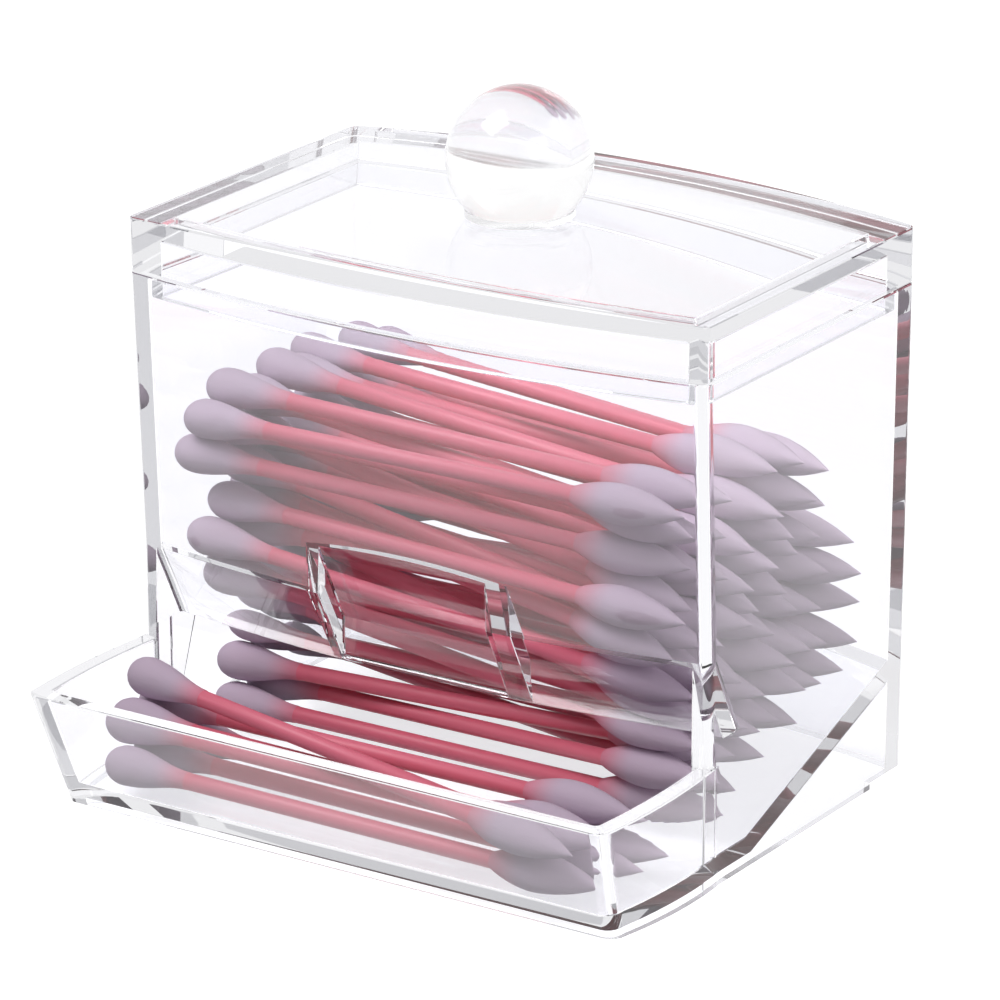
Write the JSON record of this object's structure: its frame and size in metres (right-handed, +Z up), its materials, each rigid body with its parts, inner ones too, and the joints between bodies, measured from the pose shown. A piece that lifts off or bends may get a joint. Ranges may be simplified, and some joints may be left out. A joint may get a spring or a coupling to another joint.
{
  "type": "cotton swab dispenser",
  "caption": "Clear plastic box with a lift-off knobbed lid, a sloping floor and an open front tray, filled with double-ended cotton swabs.",
  "frame": {"origin": "on the table, under the middle of the whole object's outline", "axes": "+X to the right along the front, +Y from the front tray to the back, +Z up"},
  "size_m": [0.0882, 0.0776, 0.0906],
  "materials": {
    "clear_plastic": "clear, polished",
    "frosted_plastic": "clear with a slight haze",
    "cotton": "matt wound cotton; the stick between the buds is pink plastic"
  },
  "bodies": {
    "box": {"dispenser_box": "clear_plastic", "swab_01": "cotton", "swab_02": "cotton", "swab_03": "cotton", "swab_04": "cotton", "swab_05": "cotton", "swab_06": "cotton", "swab_07": "cotton", "swab_08": "cotton", "swab_09": "cotton", "swab_10": "cotton", "swab_11": "cotton", "swab_12": "cotton", "swab_13": "cotton", "swab_14": "cotton", "swab_15": "cotton", "swab_16": "cotton", "swab_17": "cotton", "swab_18": "cotton", "swab_19": "cotton", "swab_20": "cotton", "swab_21": "cotton", "swab_22": "cotton", "swab_23": "cotton", "swab_24": "cotton", "swab_25": "cotton", "swab_26": "cotton", "swab_27": "cotton", "swab_28": "cotton", "swab_29": "cotton", "swab_30": "cotton", "swab_31": "cotton", "swab_32": "cotton", "swab_33": "cotton", "swab_34": "cotton", "swab_35": "cotton", "swab_36": "cotton", "swab_37": "cotton", "swab_38": "cotton", "swab_39": "cotton", "swab_40": "cotton"},
    "lid": {"lid": "clear_plastic", "ball_knob": "frosted_plastic"}
  },
  "joints": [
    {"name": "lid_lift", "type": "slide", "parent": "box", "child": "lid", "axis": [0, 0, 1], "range_m": [0, 0.04]}
  ]
}
